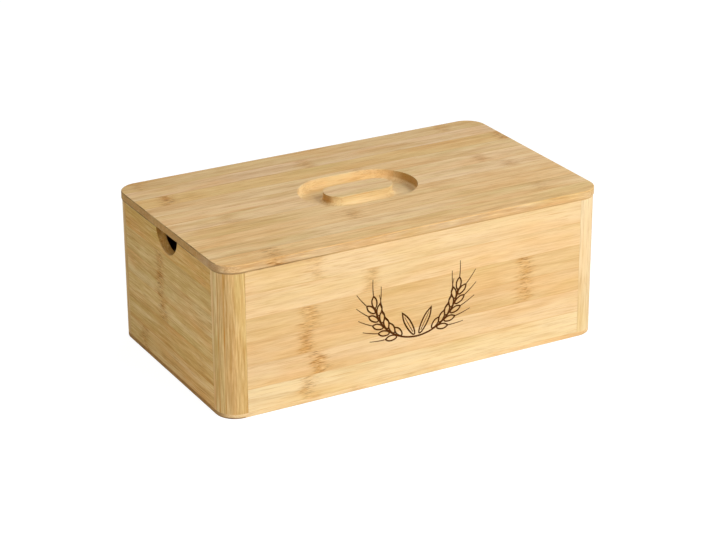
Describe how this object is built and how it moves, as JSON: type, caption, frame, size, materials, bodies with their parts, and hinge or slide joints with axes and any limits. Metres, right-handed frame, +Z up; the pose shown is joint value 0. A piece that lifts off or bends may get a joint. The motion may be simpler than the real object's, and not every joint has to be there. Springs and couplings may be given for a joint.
{
  "type": "bread box",
  "caption": "Low bamboo box with rounded corner posts and finger notches in its short sides, closed by a lift-off lid with a grip cut out of its board.",
  "frame": {"origin": "on the table, under the middle of the box", "axes": "+X to the right along the front, +Y to the back, +Z up"},
  "size_m": [0.36, 0.2088, 0.1343],
  "materials": {
    "bamboo_panel": "satin",
    "bamboo_post": "satin",
    "bamboo_base": "satin",
    "bamboo_lid": "satin"
  },
  "bodies": {
    "box": {"base_plate": "bamboo_base", "front_panel": "bamboo_panel", "back_panel": "bamboo_panel", "left_panel": "bamboo_panel", "right_panel": "bamboo_panel", "front_left_post": "bamboo_post", "front_right_post": "bamboo_post", "back_left_post": "bamboo_post", "back_right_post": "bamboo_post"},
    "lid": {"lid": "bamboo_lid"}
  },
  "joints": [
    {"name": "lid_lift", "type": "slide", "parent": "box", "child": "lid", "axis": [0, 0, 1], "range_m": [0, 0.2]}
  ]
}
